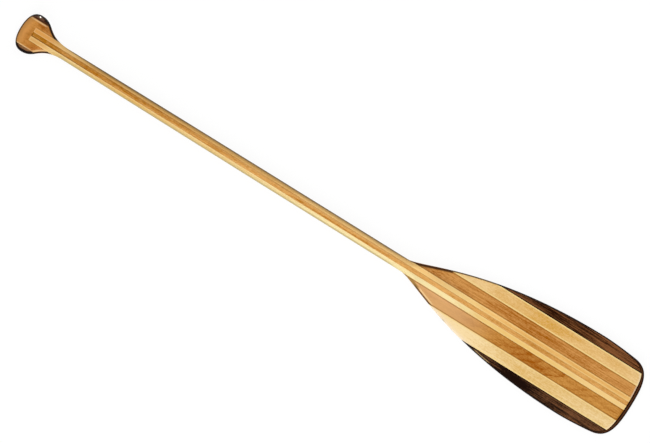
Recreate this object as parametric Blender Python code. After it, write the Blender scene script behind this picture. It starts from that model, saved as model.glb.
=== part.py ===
"""A laminated wooden canoe paddle with a palm grip, an oval shaft and a square-ended blade.

The paddle lies on its back. X runs from the grip to the tip of the blade, Y across the blade and
Z up out of its face. The origin is half way along, under the middle of the shaft, at floor level.

It is made as such a paddle is made. Straight battens are glued side by side, the blank is sawn to
one outline, and both faces are then carved. So every piece here is a flat sheet that is cut to its
plan, extruded to a board and carved to the same two faces, and the glue lines are its side walls.
Places along the paddle, called u below, are measured from the end of the grip.
"""
import bpy
import bmesh
import numpy as np

# Lengths along the paddle

OVERALL_LENGTH = 1.422
BLADE_LENGTH = 0.529
BLADE_WIDEST_FROM_TIP = 0.115
BLADE_CORNER_FROM_TIP = 0.042
GRIP_LENGTH = 0.105
GRIP_WIDEST_FROM_END = 0.0255
GRIP_WAIST_FROM_END = 0.088

# Widths across the paddle

GRIP_WIDTH = 0.0822
NECK_WIDTH = 0.0243
SHAFT_WIDTH = 0.0278
BLADE_WIDTH = 0.1806
BLADE_CORNER_WIDTH = 0.1698
BLADE_CORNER_SLOPE = 0.124

# Thicknesses from face to face

GRIP_END_THICKNESS = 0.027
GRIP_THICKNESS = 0.032
GRIP_WAIST_THICKNESS = 0.025
SHAFT_DEPTH = 0.032
BLADE_THICKNESS = 0.0085
BLADE_EDGE_THICKNESS = 0.0045

# How the thick shaft runs out into the thin blade, and how the edges round over

SHOULDER_THINNING_LENGTH = 0.120
SHOULDER_ROUNDING_LENGTH = 0.100
SPINE_LENGTH = 0.220
SPINE_WIDTH = 0.048
EDGE_THINNING_WIDTH = 0.042
GRIP_EDGE_RADIUS = 0.014

# Battens and blocks, from the middle outwards

CORE_WIDTH = 0.0092
SHAFT_PLANING = 0.0002
INNER_STRIP_WIDTH = 0.0257
MIDDLE_STRIP_WIDTH = 0.0257
GRIP_BLOCK_WIDTH = 0.0600
GRIP_SOCKET_FROM_END = 0.0280

# The hard guard let into the end of the blade, with its run measured along the edge from the tip

GUARD_WIDTH = 0.0082
GUARD_TAIL_WIDTH = 0.0010
GUARD_HALF_RUN = 0.128
GUARD_TAPER_LENGTH = 0.097

# Clearances

GLUE_GAP = 0.0003
FEATHER_WIDTH = 0.0002
MERGE_DISTANCE = 0.00001

# How far each stretch of a curve keeps its two end directions, as shares of that stretch

CROWN_FULLNESS = (0.48, 0.81)
FLARE_FULLNESS = (0.40, 0.67)
SHAFT_FULLNESS = (0.02, 0.66)
SHOULDER_FULLNESS = (0.082, 0.638)
BLADE_SIDE_FULLNESS = (0.145, 0.42)
BLADE_END_FULLNESS = (0.876, 0.596)
FACE_FULLNESS = (0.45, 0.45)

# Facets

CURVE_POINTS = 60
CROSSING_POINTS = 4000
ROUND_COLUMNS = 4
ROUND_SHARE = 0.75
CORE_COLUMNS = 4
SOCKET_COLUMNS = 3
SHAFT_STRIP_COLUMNS = 5
INNER_STRIP_COLUMNS = 8
MIDDLE_STRIP_COLUMNS = 6
OUTER_STRIP_COLUMNS = 6
GRIP_COLUMNS = 5
GUARD_COLUMNS = 5
CROWN_ROWS = 10
FLOOR_ROWS = 3
CORNER_ROWS = 18
GRIP_ROWS = 12
NECK_ROWS = 3
NECK_ROWS_LENGTH = 0.105
SHAFT_ROWS = 8
THROAT_ROWS = 13
THROAT_ROWS_LENGTH = 0.035
SPINE_ROWS = 6
BLADE_ROWS = 8
BLADE_SIDE_ROWS = 3
TIP_ROWS = 6
TIP_ROWS_LENGTH = 0.060
GUARD_END_ROWS = 5
GUARD_CORNER_ROWS = 15
GUARD_SIDE_ROWS = 5
ROW_CLEARANCE = 0.003
SHARP_ANGLE = np.radians(35.0)

# Wood and resin colours

CORE_COLOUR = (0.64, 0.33, 0.09)
LIGHT_COLOUR = (0.84, 0.55, 0.22)
BROWN_COLOUR = (0.56, 0.24, 0.055)
DARK_COLOUR = (0.10, 0.037, 0.013)
GUARD_COLOUR = (0.026, 0.008, 0.004)

# Places along the paddle

THROAT_AT = OVERALL_LENGTH - BLADE_LENGTH
WIDEST_AT = OVERALL_LENGTH - BLADE_WIDEST_FROM_TIP
CORNER_AT = OVERALL_LENGTH - BLADE_CORNER_FROM_TIP
THINNED_AT = THROAT_AT + SHOULDER_THINNING_LENGTH
SPINE_END = THROAT_AT + SPINE_LENGTH
TIP_ROWS_AT = OVERALL_LENGTH - TIP_ROWS_LENGTH
CENTRE_HEIGHT = max(GRIP_THICKNESS, SHAFT_DEPTH) / 2

# Glue planes, as distances from the middle

CORE_PLANE = CORE_WIDTH / 2
STICK_PLANE = SHAFT_WIDTH / 2 + SHAFT_PLANING
INNER_PLANE = STICK_PLANE + INNER_STRIP_WIDTH
MIDDLE_PLANE = INNER_PLANE + MIDDLE_STRIP_WIDTH
GRIP_PLANE = GRIP_BLOCK_WIDTH / 2
HALF_GAP = GLUE_GAP / 2


def cubic(start, end, leaving, arriving):
    """Points on one cubic curve, without its last. Both handles are vectors from their ends."""
    t = np.linspace(0.0, 1.0, CURVE_POINTS, endpoint=False)[:, None]
    start, end = np.array(start), np.array(end)
    near, far = start + leaving, end + arriving
    return (1 - t)**3 * start + 3 * (1 - t)**2 * t * near + 3 * (1 - t) * t**2 * far + t**3 * end


def level_cubic(start, end, fullness):
    """A cubic whose two ends both run along the paddle."""
    span = end[0] - start[0]
    return cubic(start, end, (fullness[0] * span, 0.0), (-fullness[1] * span, 0.0))


def plan_outline():
    """Half of the outline seen from above, from the end of the grip to the tip of the blade."""
    grip_end = (0.0, 0.0)
    grip_side = (GRIP_WIDEST_FROM_END, GRIP_WIDTH / 2)
    neck = (GRIP_LENGTH, NECK_WIDTH / 2)
    throat = (THROAT_AT, SHAFT_WIDTH / 2)
    widest = (WIDEST_AT, BLADE_WIDTH / 2)
    corner = (CORNER_AT, BLADE_CORNER_WIDTH / 2)
    tip = (OVERALL_LENGTH, 0.0)
    turn = np.array([1.0, -BLADE_CORNER_SLOPE]) / np.hypot(1.0, BLADE_CORNER_SLOPE)
    side_length = CORNER_AT - WIDEST_AT
    crown = cubic(grip_end, grip_side, (0.0, CROWN_FULLNESS[0] * grip_side[1]),
                  (-CROWN_FULLNESS[1] * GRIP_WIDEST_FROM_END, 0.0))
    blade_side = cubic(widest, corner, (BLADE_SIDE_FULLNESS[0] * side_length, 0.0),
                       -turn * BLADE_SIDE_FULLNESS[1] * side_length)
    blade_end = cubic(corner, tip, turn * BLADE_END_FULLNESS[0] * BLADE_CORNER_FROM_TIP,
                      (0.0, BLADE_END_FULLNESS[1] * corner[1]))
    return np.concatenate([
        crown,
        level_cubic(grip_side, neck, FLARE_FULLNESS),
        level_cubic(neck, throat, SHAFT_FULLNESS),
        level_cubic(throat, widest, SHOULDER_FULLNESS),
        blade_side,
        blade_end,
        [tip],
    ])


def face_profile(stops):
    """Half thickness along the paddle, through stops of place, thickness and fullness after it."""
    parts = []
    for (u, thickness, fullness), (next_u, next_thickness, _) in zip(stops, stops[1:]):
        parts.append(level_cubic((u, thickness / 2), (next_u, next_thickness / 2), fullness))
    last_u, last_thickness, _ = stops[-1]
    return np.concatenate(parts + [[(last_u, last_thickness / 2)]])


OUTLINE = plan_outline()

SPINE_PROFILE = face_profile([
    (0.0, GRIP_END_THICKNESS, FACE_FULLNESS),
    (GRIP_WIDEST_FROM_END, GRIP_THICKNESS, FACE_FULLNESS),
    (GRIP_WAIST_FROM_END, GRIP_WAIST_THICKNESS, SHAFT_FULLNESS),
    (THROAT_AT, SHAFT_DEPTH, FACE_FULLNESS),
    (SPINE_END, BLADE_THICKNESS, FACE_FULLNESS),
    (OVERALL_LENGTH, BLADE_THICKNESS, FACE_FULLNESS),
])

FLAT_PROFILE = face_profile([
    (THROAT_AT, SHAFT_DEPTH, FACE_FULLNESS),
    (THINNED_AT, BLADE_THICKNESS, FACE_FULLNESS),
    (OVERALL_LENGTH, BLADE_THICKNESS, FACE_FULLNESS),
])

EDGE_PROFILE = face_profile([
    (THROAT_AT, SHAFT_DEPTH, FACE_FULLNESS),
    (THINNED_AT, BLADE_EDGE_THICKNESS, FACE_FULLNESS),
    (OVERALL_LENGTH, BLADE_EDGE_THICKNESS, FACE_FULLNESS),
])


def read(profile, u):
    """The profile's value at each place u along the paddle."""
    return np.interp(u, profile[:, 0], profile[:, 1])


def ease(u, start, end):
    """Rises smoothly from 0 at the start to 1 at the end."""
    t = np.clip((u - start) / (end - start), 0.0, 1.0)
    return t * t * (3.0 - 2.0 * t)


def half_width(u):
    """Half width of the outline at each place u."""
    return read(OUTLINE, u)


def edge_distance(u, y):
    """Shortest distance from each plan point to the outline."""
    points = np.stack([u, np.abs(y)], axis=-1)[..., None, :]
    starts = OUTLINE[:-1]
    steps = np.diff(OUTLINE, axis=0)
    along = ((points - starts) * steps).sum(-1) / (steps**2).sum(-1)
    nearest = starts + np.clip(along, 0.0, 1.0)[..., None] * steps
    return np.linalg.norm(points - nearest, axis=-1).min(-1)


def edge_radius(u):
    """How far in from the outline the faces round over: the whole half width along the shaft."""
    width = half_width(u)
    to_neck = ease(u, GRIP_WIDEST_FROM_END, GRIP_LENGTH)
    grip = GRIP_EDGE_RADIUS + (width - GRIP_EDGE_RADIUS) * to_neck
    to_blade = ease(u, THROAT_AT, THROAT_AT + SHOULDER_ROUNDING_LENGTH)
    blade = SHAFT_WIDTH / 2 + (BLADE_EDGE_THICKNESS / 2 - SHAFT_WIDTH / 2) * to_blade
    return np.where(u < GRIP_LENGTH, grip, np.where(u < THROAT_AT, width, blade))


def half_thickness(u, y):
    """Height of the carved face over the paddle's middle plane at each plan point.

    The blade is flat and thins by a parabola towards its edge. The spine is a cosine hump that
    runs out along the middle, and the edge itself rounds over as a quarter of an ellipse.
    """
    inset = edge_distance(u, y)
    spine = read(SPINE_PROFILE, u)
    flat = np.where(u < THROAT_AT, spine, read(FLAT_PROFILE, u))
    edge = np.where(u < THROAT_AT, spine, read(EDGE_PROFILE, u))
    thinning_width = np.minimum(EDGE_THINNING_WIDTH, half_width(u) + MERGE_DISTANCE)
    thinning = np.clip(inset / thinning_width, 0.0, 1.0)
    blade = edge + (flat - edge) * thinning * (2.0 - thinning)
    hump = 0.5 + 0.5 * np.cos(np.pi * np.clip(2.0 * np.abs(y) / SPINE_WIDTH, 0.0, 1.0))
    body = blade + np.maximum(spine - flat, 0.0) * hump
    rounding = np.clip(inset / edge_radius(u), 0.0, 1.0)
    return body * np.sqrt(rounding * (2.0 - rounding))


def crossing(plane, before, after):
    """Where the outline passes a glue plane, between two places along the paddle."""
    u = np.linspace(before, after, CROSSING_POINTS)
    width = half_width(u)
    if width[-1] < width[0]:
        u, width = u[::-1], width[::-1]
    return float(np.interp(plane, width, u))


def guard_line():
    """Points on the outline from the tip to the guard's tail, their inward normals and widths."""
    line = OUTLINE[::-1]
    run = np.concatenate([[0.0], np.cumsum(np.linalg.norm(np.diff(line, axis=0), axis=1))])
    corner_start = BLADE_CORNER_WIDTH / 2 - BLADE_CORNER_FROM_TIP
    corner_end = BLADE_CORNER_WIDTH / 2 + BLADE_CORNER_FROM_TIP / 2
    steps = np.concatenate([
        np.linspace(0.0, corner_start, GUARD_END_ROWS, endpoint=False),
        np.linspace(corner_start, corner_end, GUARD_CORNER_ROWS, endpoint=False),
        np.linspace(corner_end, GUARD_HALF_RUN, GUARD_SIDE_ROWS),
    ])
    places = np.stack([np.interp(steps, run, line[:, 0]), np.interp(steps, run, line[:, 1])], axis=1)
    tangents = np.gradient(line, run, axis=0)
    tangents[0] = (0.0, 1.0)
    normals = np.stack([-np.interp(steps, run, tangents[:, 1]),
                        np.interp(steps, run, tangents[:, 0])], axis=1)
    normals /= np.linalg.norm(normals, axis=1)[:, None]
    taper = ease(steps, GUARD_HALF_RUN - GUARD_TAPER_LENGTH, GUARD_HALF_RUN)
    return places, normals, GUARD_WIDTH + (GUARD_TAIL_WIDTH - GUARD_WIDTH) * taper


GUARD_PLACES, GUARD_NORMALS, GUARD_WIDTHS = guard_line()
SEAT_LINE = GUARD_PLACES + GUARD_NORMALS * (GUARD_WIDTHS + GLUE_GAP)[:, None]


def shared_rows():
    """Places at which all battens have a row of points, closer together where the form turns."""
    neck_end = GRIP_LENGTH + NECK_ROWS_LENGTH
    near_throat = THROAT_AT - THROAT_ROWS_LENGTH
    stretches = [
        (GRIP_SOCKET_FROM_END, GRIP_LENGTH, GRIP_ROWS),
        (GRIP_LENGTH, neck_end, NECK_ROWS),
        (neck_end, near_throat, SHAFT_ROWS),
        (near_throat, THINNED_AT, THROAT_ROWS),
        (THINNED_AT, SPINE_END, SPINE_ROWS),
        (SPINE_END, WIDEST_AT, BLADE_ROWS),
        (WIDEST_AT, TIP_ROWS_AT, BLADE_SIDE_ROWS),
    ]
    rows = [np.linspace(start, end, count, endpoint=False) for start, end, count in stretches]
    return np.concatenate(rows + [[TIP_ROWS_AT]])


def rows_between(start, end, kinks=()):
    """The shared rows inside a stretch, with its ends and the kinks in its sides as rows."""
    fixed = np.array([start, *kinks, end])
    shared = shared_rows()
    clear = np.abs(shared[:, None] - fixed).min(axis=1) > ROW_CLEARANCE
    inside = (shared > start) & (shared < end)
    return np.sort(np.concatenate([fixed, shared[clear & inside]]))


def even_columns(inner, outer, count):
    """Places across a piece in each row, evenly apart."""
    return inner[:, None] + (outer - inner)[:, None] * np.linspace(0.0, 1.0, count + 1)


def edge_columns(inner, outer, radius, count):
    """Places across a piece in each row, closer together where its outer side rounds over."""
    rounded = np.minimum(radius, ROUND_SHARE * (outer - inner))
    turns = np.arccos(1.0 - rounded / radius)[:, None] * np.linspace(1.0, 0.0, ROUND_COLUMNS + 1)
    round_part = outer[:, None] - radius[:, None] * (1.0 - np.cos(turns))
    flat_part = even_columns(inner, outer - rounded, count - ROUND_COLUMNS)
    return np.concatenate([flat_part[:, :-1], round_part], axis=1)


def cut_columns(rows, inner_plane, outer_plane, count):
    """Columns of a piece between two planes, which the outline cuts where it is the narrower."""
    inner = np.full(len(rows), inner_plane)
    outer = np.minimum(half_width(rows), outer_plane)
    return edge_columns(inner, outer, edge_radius(rows), count)


def level_rows(rows, across):
    """Each row's place, repeated for all its columns."""
    return np.repeat(rows[:, None], across.shape[1], axis=1)


def run_to_guard(rows, across):
    """Plan places of a batten's points, with its last rows drawn out to its seat in the guard."""
    last = across[-1]
    seat = np.interp(np.abs(last), SEAT_LINE[:, 1], SEAT_LINE[:, 0])
    tip_rows = TIP_ROWS_AT + np.linspace(0.0, 1.0, TIP_ROWS + 1)[1:, None] * (seat - TIP_ROWS_AT)
    along = np.concatenate([level_rows(rows, across), tip_rows])
    return along, np.concatenate([across, np.repeat(last[None], TIP_ROWS, axis=0)])


def core_plan():
    """The middle batten, from its socket in the grip to the guard."""
    rows = rows_between(GRIP_SOCKET_FROM_END + HALF_GAP, TIP_ROWS_AT)
    half = np.full(len(rows), CORE_PLANE - HALF_GAP)
    return run_to_guard(rows, even_columns(-half, half, CORE_COLUMNS))


def shaft_strip_plan():
    """A batten beside the core. The outline cuts it along the shaft, between grip and blade."""
    outer = STICK_PLANE - HALF_GAP
    kinks = (crossing(outer, GRIP_WIDEST_FROM_END, GRIP_LENGTH), crossing(outer, THROAT_AT, WIDEST_AT))
    rows = rows_between(GRIP_SOCKET_FROM_END + HALF_GAP, TIP_ROWS_AT, kinks)
    return run_to_guard(rows, cut_columns(rows, CORE_PLANE + HALF_GAP, outer, SHAFT_STRIP_COLUMNS))


def blade_strip_plan(inner_plane, outer_plane, count):
    """A batten of the blade, from its feathered start on the shoulder to the guard."""
    inner, outer = inner_plane + HALF_GAP, outer_plane - HALF_GAP
    start = crossing(inner + FEATHER_WIDTH, THROAT_AT, WIDEST_AT)
    rows = rows_between(start, TIP_ROWS_AT, (crossing(outer, THROAT_AT, WIDEST_AT),))
    return run_to_guard(rows, cut_columns(rows, inner, outer, count))


def outer_strip_plan():
    """The batten at the blade's edge, whose front is hollowed to seat in the guard's tail."""
    inner = MIDDLE_PLANE + HALF_GAP
    start = crossing(inner + FEATHER_WIDTH, THROAT_AT, WIDEST_AT)
    tail = SEAT_LINE[-1, 0] - GUARD_TAIL_WIDTH
    edge_rows = rows_between(start, tail)
    front = inner + FEATHER_WIDTH
    seated = SEAT_LINE[SEAT_LINE[:, 1] > front + FEATHER_WIDTH][::-1]
    front_row = (np.interp(front, SEAT_LINE[:, 1], SEAT_LINE[:, 0]), front)
    seated = np.concatenate([seated, [front_row]])
    rows = np.concatenate([edge_rows, seated[:, 0]])
    outer = np.concatenate([half_width(edge_rows), seated[:, 1]])
    across = edge_columns(np.full(len(rows), inner), outer, edge_radius(rows), OUTER_STRIP_COLUMNS)
    return level_rows(rows, across), across


def guard_plan():
    """The guard: its section swept along the outline, round both corners, from tail to tail."""
    radius = edge_radius(GUARD_PLACES[:, 0])
    width = GUARD_WIDTHS
    inset = width[:, None] - edge_columns(np.zeros(len(width)), width, radius, GUARD_COLUMNS)
    along = GUARD_PLACES[:, :1] + GUARD_NORMALS[:, :1] * inset
    across = GUARD_PLACES[:, 1:] + GUARD_NORMALS[:, 1:] * inset
    return np.concatenate([along[:0:-1], along]), np.concatenate([across[:0:-1], -across])


def grip_block_plan():
    """The block of the palm grip, with a socket cut in from the shaft's side. Returns the cut too."""
    socket = STICK_PLANE + HALF_GAP
    side = GRIP_PLANE - HALF_GAP
    floor = GRIP_SOCKET_FROM_END - HALF_GAP
    cheek_end = crossing(socket + FEATHER_WIDTH, GRIP_WIDEST_FROM_END, GRIP_LENGTH)
    crown_turns = np.linspace(0.0, np.pi / 2, CROWN_ROWS, endpoint=False)
    rows = np.concatenate([
        GRIP_EDGE_RADIUS * (1.0 - np.cos(crown_turns)),
        np.linspace(GRIP_EDGE_RADIUS, floor, FLOOR_ROWS, endpoint=False),
        rows_between(floor, cheek_end, (crossing(side, GRIP_WIDEST_FROM_END, GRIP_LENGTH),)),
    ])
    width = half_width(rows)
    inner = np.where(rows < floor, socket * np.minimum(1.0, width / side), socket)
    outer = np.minimum(width, side)
    outside = edge_columns(inner, outer, edge_radius(rows), GRIP_COLUMNS)
    inside = even_columns(np.zeros(len(rows)), inner, SOCKET_COLUMNS)
    half = np.concatenate([inside[:, :-1], outside], axis=1)
    across = np.concatenate([-half[:, :0:-1], half], axis=1)
    centres = (across[:-1, :-1] + across[1:, 1:]) / 2
    cut_out = (np.abs(centres) < socket) & (rows[:-1, None] >= floor)
    return level_rows(rows, across), across, cut_out


def grip_corner_plan():
    """The dark corner piece at the side of the palm grip."""
    inner = GRIP_PLANE + HALF_GAP
    start = crossing(inner + FEATHER_WIDTH, 0.0, GRIP_WIDEST_FROM_END)
    end = crossing(inner + FEATHER_WIDTH, GRIP_WIDEST_FROM_END, GRIP_LENGTH)
    rows = start + (end - start) * (0.5 - 0.5 * np.cos(np.linspace(0.0, np.pi, CORNER_ROWS + 1)))
    across = edge_columns(np.full(len(rows), inner), half_width(rows), edge_radius(rows), GRIP_COLUMNS)
    return level_rows(rows, across), across


def material(name, colour, roughness):
    """A plain surface of one colour."""
    made = bpy.data.materials.new(name)
    made.use_nodes = True
    shader = made.node_tree.nodes["Principled BSDF"]
    shader.inputs["Base Color"].default_value = (*colour, 1.0)
    shader.inputs["Roughness"].default_value = roughness
    shader.inputs["Metallic"].default_value = 0.0
    made.diffuse_color = (*colour, 1.0)
    return made


def carve(name, finish, along, across, cut_out=None):
    """One piece: a sheet with the piece's plan, extruded to a board and carved on both faces."""
    heights = half_thickness(along, across)
    bm = bmesh.new()
    height = bm.verts.layers.float.new("height")
    rows, count = along.shape
    grid = []
    for i in range(rows):
        for j in range(count):
            vertex = bm.verts.new((along[i, j] - OVERALL_LENGTH / 2, across[i, j], CENTRE_HEIGHT))
            vertex[height] = heights[i, j]
            grid.append(vertex)
    for i in range(rows - 1):
        for j in range(count - 1):
            if cut_out is None or not cut_out[i, j]:
                first = i * count + j
                corners = (first, first + count, first + count + 1, first + 1)
                bm.faces.new([grid[k] for k in corners])
    bmesh.ops.delete(bm, geom=[v for v in bm.verts if not v.link_faces], context="VERTS")
    bmesh.ops.remove_doubles(bm, verts=bm.verts, dist=MERGE_DISTANCE)
    raised = bmesh.ops.extrude_face_region(bm, geom=bm.faces[:])["geom"]
    upper = {item for item in raised if isinstance(item, bmesh.types.BMVert)}
    for vertex in bm.verts:
        vertex.co.z += vertex[height] if vertex in upper else -vertex[height]
    bmesh.ops.remove_doubles(bm, verts=bm.verts, dist=MERGE_DISTANCE)
    bmesh.ops.recalc_face_normals(bm, faces=bm.faces)
    bm.verts.layers.float.remove(height)
    mesh = bpy.data.meshes.new(name)
    bm.to_mesh(mesh)
    bm.free()
    mesh.materials.append(finish)
    mesh.shade_smooth()
    mesh.set_sharp_from_angle(angle=SHARP_ANGLE)
    bpy.context.scene.collection.objects.link(bpy.data.objects.new(name, mesh))


def carve_pair(name, finish, along, across):
    """The same piece on the left and on the right of the middle."""
    carve(name + "_left", finish, along, across)
    carve(name + "_right", finish, along, -across)


def build():
    """All pieces of the paddle."""
    core_wood = material("core_wood", CORE_COLOUR, 0.35)
    light_wood = material("light_wood", LIGHT_COLOUR, 0.35)
    brown_wood = material("brown_wood", BROWN_COLOUR, 0.35)
    dark_wood = material("dark_wood", DARK_COLOUR, 0.35)
    guard_resin = material("guard_resin", GUARD_COLOUR, 0.30)
    carve("shaft_core", core_wood, *core_plan())
    carve_pair("shaft_strip", light_wood, *shaft_strip_plan())
    inner = blade_strip_plan(STICK_PLANE, INNER_PLANE, INNER_STRIP_COLUMNS)
    middle = blade_strip_plan(INNER_PLANE, MIDDLE_PLANE, MIDDLE_STRIP_COLUMNS)
    carve_pair("blade_inner_strip", brown_wood, *inner)
    carve_pair("blade_middle_strip", light_wood, *middle)
    carve_pair("blade_outer_strip", dark_wood, *outer_strip_plan())
    carve("blade_tip_guard", guard_resin, *guard_plan())
    carve("grip_block", brown_wood, *grip_block_plan())
    carve_pair("grip_corner", dark_wood, *grip_corner_plan())


for leftover in list(bpy.data.objects):
    bpy.data.objects.remove(leftover)
build()
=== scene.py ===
import bmesh
import bpy
import numpy as np
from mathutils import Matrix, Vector


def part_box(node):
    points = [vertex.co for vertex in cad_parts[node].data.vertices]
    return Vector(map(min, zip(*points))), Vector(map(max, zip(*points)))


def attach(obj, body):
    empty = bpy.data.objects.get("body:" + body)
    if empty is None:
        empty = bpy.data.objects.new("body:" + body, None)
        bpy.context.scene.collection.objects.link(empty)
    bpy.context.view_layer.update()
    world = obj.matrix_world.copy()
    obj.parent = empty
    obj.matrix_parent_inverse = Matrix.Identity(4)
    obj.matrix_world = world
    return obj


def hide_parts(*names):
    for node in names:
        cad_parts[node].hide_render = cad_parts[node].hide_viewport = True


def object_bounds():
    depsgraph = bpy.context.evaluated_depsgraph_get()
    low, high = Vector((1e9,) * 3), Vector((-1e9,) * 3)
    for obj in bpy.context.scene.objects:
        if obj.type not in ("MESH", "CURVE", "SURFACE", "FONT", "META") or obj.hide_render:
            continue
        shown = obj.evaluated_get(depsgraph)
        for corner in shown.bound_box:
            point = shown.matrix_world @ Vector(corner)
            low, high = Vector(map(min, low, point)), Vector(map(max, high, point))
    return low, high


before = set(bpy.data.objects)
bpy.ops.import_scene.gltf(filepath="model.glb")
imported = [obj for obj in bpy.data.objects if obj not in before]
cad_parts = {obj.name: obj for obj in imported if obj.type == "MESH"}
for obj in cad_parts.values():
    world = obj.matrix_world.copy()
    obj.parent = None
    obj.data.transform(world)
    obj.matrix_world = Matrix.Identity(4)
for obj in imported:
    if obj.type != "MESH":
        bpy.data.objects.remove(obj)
cad_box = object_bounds()

# The paddle lies on its back, with X from the grip to the tip of the blade, Y across and Z up out
# of its face. Every piece is a board with a plan and two carved faces, like the battens of a real
# blank. Places along the paddle, called u below, are measured from the end of the grip, in metres.

# The gap at glue lines, and the sizes read from the frame

GLUE_GAP = 0.0003
LENGTH = cad_box[1].x - cad_box[0].x
START = cad_box[0].x
CENTRE_HEIGHT = (cad_box[0].z + cad_box[1].z) / 2
BLADE_WIDTH = cad_box[1].y - cad_box[0].y
CORE_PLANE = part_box("shaft_core")[1].y + GLUE_GAP / 2
STICK_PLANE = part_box("shaft_strip_left")[1].y + GLUE_GAP / 2
INNER_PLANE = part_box("blade_inner_strip_left")[1].y + GLUE_GAP / 2
MIDDLE_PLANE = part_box("blade_middle_strip_left")[1].y + GLUE_GAP / 2
GRIP_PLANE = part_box("grip_corner_left")[0].y - GLUE_GAP / 2
SOCKET_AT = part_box("shaft_core")[0].x - GLUE_GAP / 2 - START
GRIP_WIDTH = 2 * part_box("grip_corner_left")[1].y
SHAFT_DEPTH = cad_box[1].z - cad_box[0].z

# Places along the paddle, widths across it and thicknesses from face to face

BLADE_LENGTH = 0.529
BLADE_WIDEST_FROM_TIP = 0.115
BLADE_CORNER_FROM_TIP = 0.042
SHOULDER_THINNING_LENGTH = 0.120
SHOULDER_ROUNDING_LENGTH = 0.100
SPINE_LENGTH = 0.220
GRIP_WIDEST_AT = 0.0255
GRIP_WAIST_AT = 0.088
NECK_AT = 0.105
THROAT_AT = LENGTH - BLADE_LENGTH
WIDEST_AT = LENGTH - BLADE_WIDEST_FROM_TIP
CORNER_AT = LENGTH - BLADE_CORNER_FROM_TIP
THINNED_AT = THROAT_AT + SHOULDER_THINNING_LENGTH
ROUNDED_AT = THROAT_AT + SHOULDER_ROUNDING_LENGTH
SPINE_END = THROAT_AT + SPINE_LENGTH
NECK_WIDTH = 0.0243
SHAFT_WIDTH = 0.0278
CORNER_WIDTH = 0.1698
CORNER_SLOPE = 0.124
SPINE_WIDTH = 0.048
EDGE_THINNING_WIDTH = 0.042
GRIP_END_THICKNESS = 0.027
GRIP_WAIST_THICKNESS = 0.025
BLADE_THICKNESS = 0.0085
BLADE_EDGE_THICKNESS = 0.0045
GRIP_EDGE_RADIUS = 0.014
GUARD_WIDTH = 0.0082
GUARD_TAIL_WIDTH = 0.0010
GUARD_HALF_RUN = 0.128
GUARD_TAPER_LENGTH = 0.097

# How full each curve of the outline and of the faces is at its two ends

CROWN_FULLNESS = (0.48, 0.81)
FLARE_FULLNESS = (0.40, 0.67)
SHAFT_FULLNESS = (0.02, 0.66)
SHOULDER_FULLNESS = (0.082, 0.638)
BLADE_SIDE_FULLNESS = (0.145, 0.42)
BLADE_END_FULLNESS = (0.876, 0.596)
FACE_FULLNESS = (0.45, 0.45)

# The fine surface: glue lines closed to a hair, short rows and close columns

HAIR = 0.00002
FEATHER = 0.00015
MERGE_DISTANCE = 0.000004
SHARP_ANGLE = np.radians(40.0)
CURVE_POINTS = 240
CROSSING_POINTS = 8000
POINTS_AT_ONCE = 2000
GUARD_ROWS = 90
SEAT_ROWS = 20
CROWN_ROWS = 24
FLOOR_ROWS = 8
CORNER_ROWS = 49
CORE_COLUMNS = 10
SOCKET_COLUMNS = 6
ROUND_COLUMNS = 9
ROUND_SHARE = 0.75
COLUMN_STEP = 0.0030
ROW_CLEARANCE = 0.0006
THROAT_ROWS_AT = THROAT_AT - 0.03
TIP_ROWS_AT = CORNER_AT - 0.018
ROW_STEPS = [
    (0.0, NECK_AT, 0.0018),
    (NECK_AT, THROAT_ROWS_AT, 0.008),
    (THROAT_ROWS_AT, SPINE_END, 0.0025),
    (SPINE_END, TIP_ROWS_AT, 0.004),
    (TIP_ROWS_AT, LENGTH, 0.0015),
]


def cubic(start, end, leaving, arriving):
    """One cubic curve as points, without its last: the sum of its four Bernstein terms."""
    t = np.linspace(0.0, 1.0, CURVE_POINTS, endpoint=False)[:, None]
    start, end = np.array(start), np.array(end)
    near, far = start + leaving, end + arriving
    return (1 - t)**3 * start + 3 * (1 - t)**2 * t * near + 3 * (1 - t) * t**2 * far + t**3 * end


def level_cubic(start, end, fullness):
    """A cubic whose handles both run along the paddle, for the given shares of its length."""
    span = end[0] - start[0]
    return cubic(start, end, (fullness[0] * span, 0.0), (-fullness[1] * span, 0.0))


def plan_outline():
    """Half the outline: crown, flare, shaft, shoulder, and the blade's side and end, as cubics."""
    grip_side = (GRIP_WIDEST_AT, GRIP_WIDTH / 2)
    neck = (NECK_AT, NECK_WIDTH / 2)
    throat = (THROAT_AT, SHAFT_WIDTH / 2)
    widest = (WIDEST_AT, BLADE_WIDTH / 2)
    corner = (CORNER_AT, CORNER_WIDTH / 2)
    tip = (LENGTH, 0.0)
    turn = np.array([1.0, -CORNER_SLOPE]) / np.hypot(1.0, CORNER_SLOPE)
    side_length = CORNER_AT - WIDEST_AT
    return np.concatenate([
        cubic((0.0, 0.0), grip_side, (0.0, CROWN_FULLNESS[0] * grip_side[1]),
              (-CROWN_FULLNESS[1] * GRIP_WIDEST_AT, 0.0)),
        level_cubic(grip_side, neck, FLARE_FULLNESS),
        level_cubic(neck, throat, SHAFT_FULLNESS),
        level_cubic(throat, widest, SHOULDER_FULLNESS),
        cubic(widest, corner, (BLADE_SIDE_FULLNESS[0] * side_length, 0.0),
              -turn * BLADE_SIDE_FULLNESS[1] * side_length),
        cubic(corner, tip, turn * BLADE_END_FULLNESS[0] * (LENGTH - CORNER_AT),
              (0.0, BLADE_END_FULLNESS[1] * corner[1])),
        [tip],
    ])


def face_profile(stops):
    """Half thickness along the paddle: level cubics through stops of place, thickness, fullness."""
    parts = []
    for (u, thickness, fullness), (next_u, next_thickness, _) in zip(stops, stops[1:]):
        parts.append(level_cubic((u, thickness / 2), (next_u, next_thickness / 2), fullness))
    return np.concatenate(parts + [[(stops[-1][0], stops[-1][1] / 2)]])


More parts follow.
